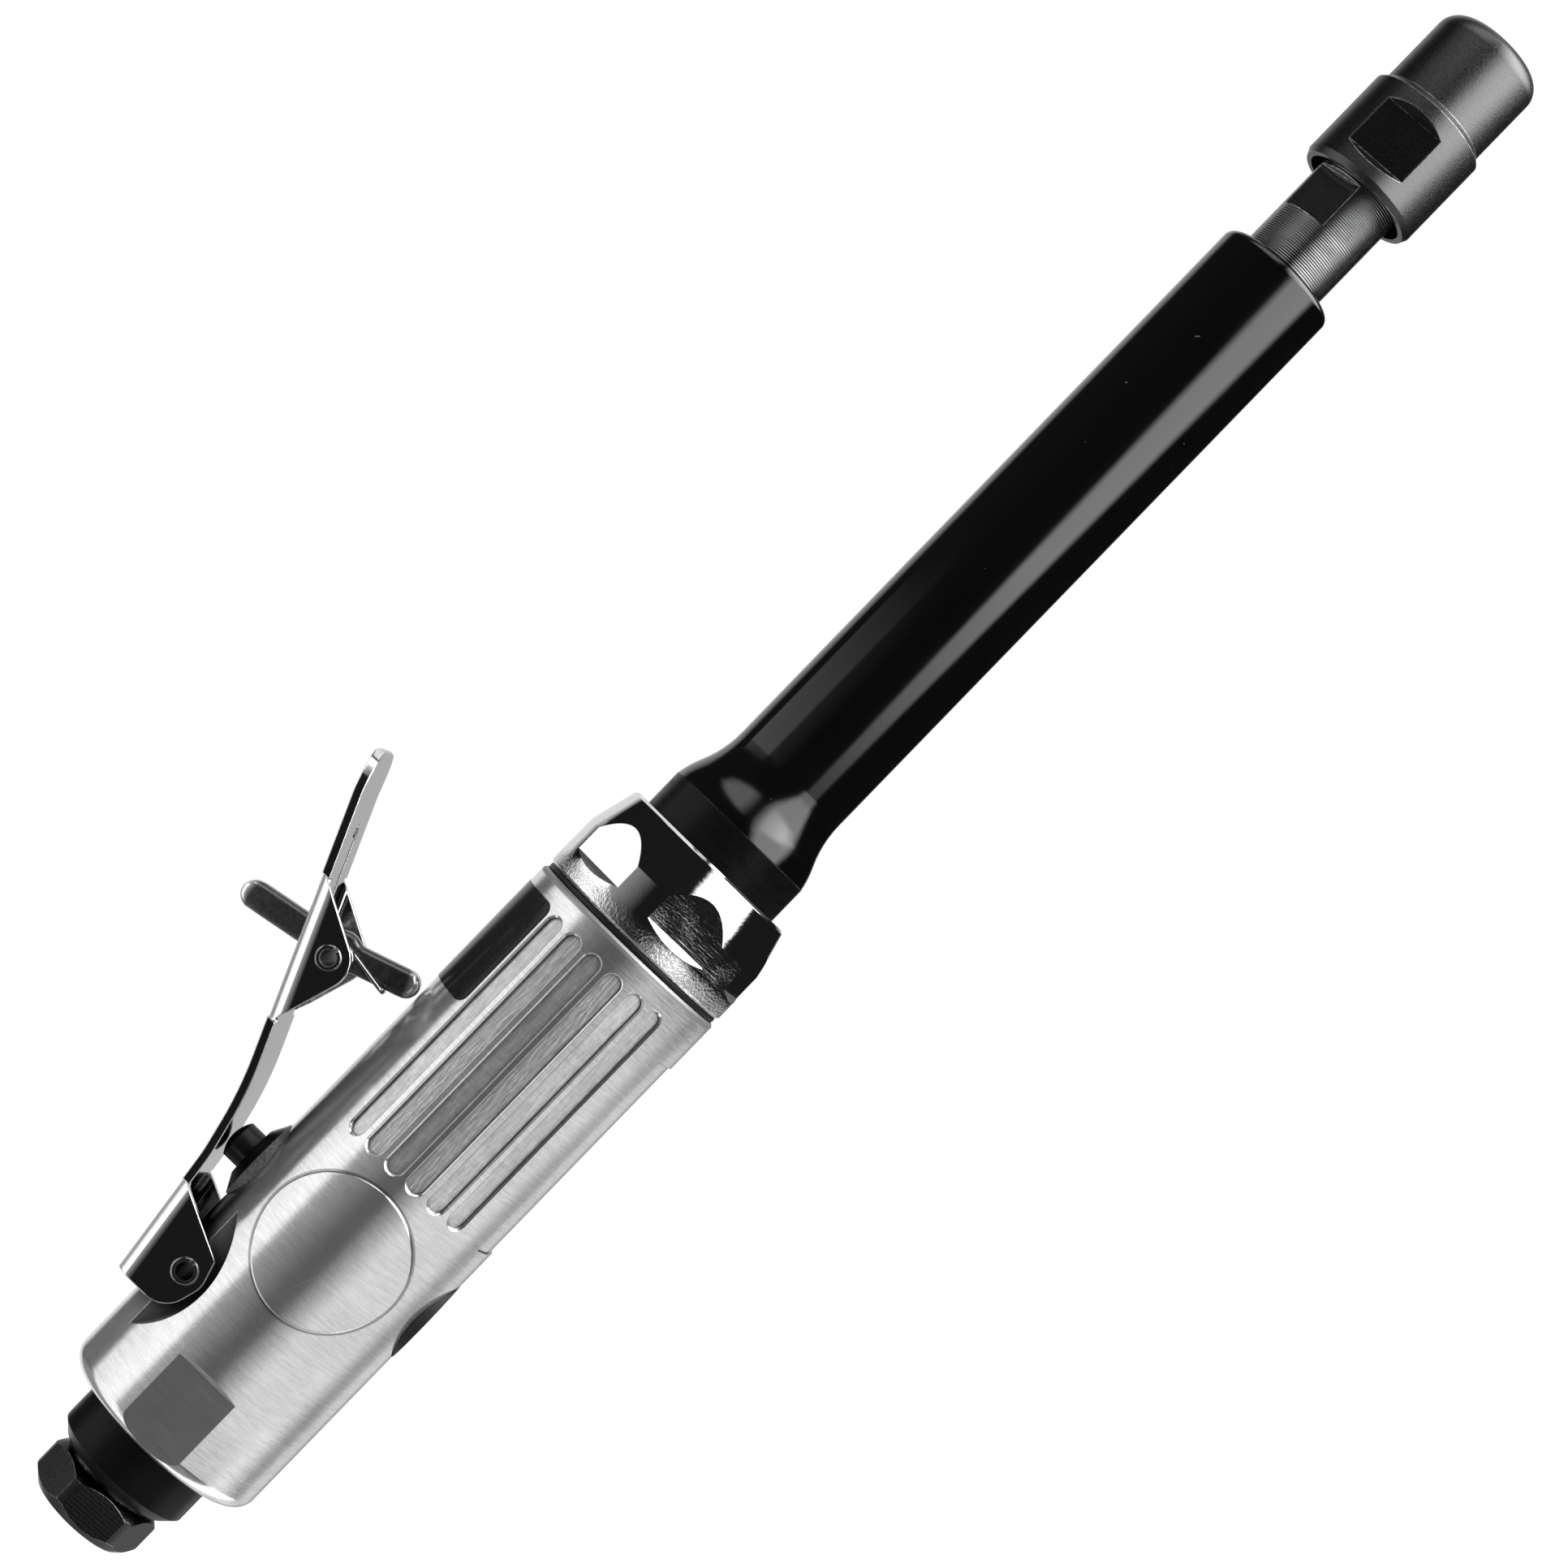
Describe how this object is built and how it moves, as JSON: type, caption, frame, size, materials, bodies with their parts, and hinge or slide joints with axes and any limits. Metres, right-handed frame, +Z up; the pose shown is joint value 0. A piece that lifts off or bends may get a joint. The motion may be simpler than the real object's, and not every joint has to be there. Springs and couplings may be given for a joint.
{
  "type": "long shank air die grinder",
  "caption": "Straight air die grinder with a long slim shank: grooved motor housing, lever throttle with a lock, clamp nut, sleeved extension, spindle and collet nut.",
  "frame": {"origin": "mouth of the collet, on the tool's axis", "axes": "+X along the spindle and out of the collet, +Z up through the throttle lever"},
  "size_m": [0.3, 0.0352, 0.064],
  "materials": {
    "housing": "satin, tumbled",
    "chrome": "bright",
    "dark_chrome": "dark, rounded by tumbling",
    "black_oxide": "black oxide",
    "black_steel": "satin black, worn edges",
    "satin_black": "satin",
    "grip": "glossy",
    "black_plastic": "matt",
    "rubber": "matt",
    "felt": "felted",
    "vane": "laminate",
    "steel": "ground",
    "bearing_steel": "polished",
    "spring_steel": "drawn",
    "aluminium": "turned",
    "brass": "plain"
  },
  "bodies": {
    "housing": {"motor_housing": "housing", "clamp_nut": "chrome", "seal_ring": "rubber", "extension_housing": "satin_black", "grip_sleeve": "grip", "extension_clip": "spring_steel", "outer_spacer": "aluminium", "spindle_front_outer_ring": "bearing_steel", "spindle_rear_outer_ring": "bearing_steel", "rotor_front_outer_ring": "bearing_steel", "rotor_rear_outer_ring": "bearing_steel", "front_end_plate": "steel", "rear_end_plate": "steel", "motor_cylinder": "steel", "cylinder_dowel": "steel", "exhaust_sleeve": "satin_black", "exhaust_silencer": "felt", "inlet_bushing": "black_oxide", "inlet_o_ring": "rubber", "inlet_screen": "brass", "valve_bushing": "black_oxide", "valve_spring": "spring_steel", "lever_pin": "spring_steel"},
    "throttle_lever": {"throttle_lever": "chrome", "lock_pin": "spring_steel"},
    "lock_lever": {"lock_lever": "dark_chrome", "lock_spring": "spring_steel"},
    "valve_stem": {"valve_stem": "black_oxide", "valve_seal": "rubber"},
    "regulator": {"regulator_knob": "black_plastic", "regulator_clip": "spring_steel", "regulator_o_ring": "rubber"},
    "spindle": {"spindle": "black_oxide", "collet": "steel", "inner_spacer": "aluminium", "drive_coupling": "steel", "rotor": "steel", "rotor_vanes": "vane", "spindle_front_inner_ring": "bearing_steel", "spindle_front_balls": "bearing_steel", "spindle_rear_inner_ring": "bearing_steel", "spindle_rear_balls": "bearing_steel", "rotor_front_inner_ring": "bearing_steel", "rotor_front_balls": "bearing_steel", "rotor_rear_inner_ring": "bearing_steel", "rotor_rear_balls": "bearing_steel"},
    "collet_nut": {"collet_nut": "black_steel"}
  },
  "joints": [
    {"name": "throttle", "type": "hinge", "parent": "housing", "child": "throttle_lever", "pos_m": [-0.26125, 0, 0.0133], "axis": [0, 1, 0], "range_deg": [0, 5], "stiffness_Nm_per_rad": 0.6},
    {"name": "lock", "type": "hinge", "parent": "throttle_lever", "child": "lock_lever", "pos_m": [-0.2145, 0, 0.02985], "axis": [0, 1, 0], "range_deg": [0, 86.5]},
    {"name": "valve", "type": "slide", "parent": "housing", "child": "valve_stem", "axis": [0, 0, -1], "range_m": [0, 0.0017], "deforming": ["valve_spring"]},
    {"name": "regulator_turn", "type": "hinge", "parent": "housing", "child": "regulator", "pos_m": [-0.244, 0, 0], "axis": [0, 0, 1], "range_deg": [0, 90]},
    {"name": "spindle_turn", "type": "hinge", "parent": "housing", "child": "spindle", "pos_m": [0, 0, 0], "axis": [1, 0, 0], "continuous": true},
    {"name": "collet_nut_turn", "type": "hinge", "parent": "spindle", "child": "collet_nut", "pos_m": [0, 0, 0], "axis": [1, 0, 0], "range_deg": [0, 360]}
  ],
  "couplings": [
    {"joint": "lock", "follows": "throttle", "ratio": 17.2},
    {"joint": "valve", "follows": "throttle", "m_per_rad": 0.0183}
  ]
}
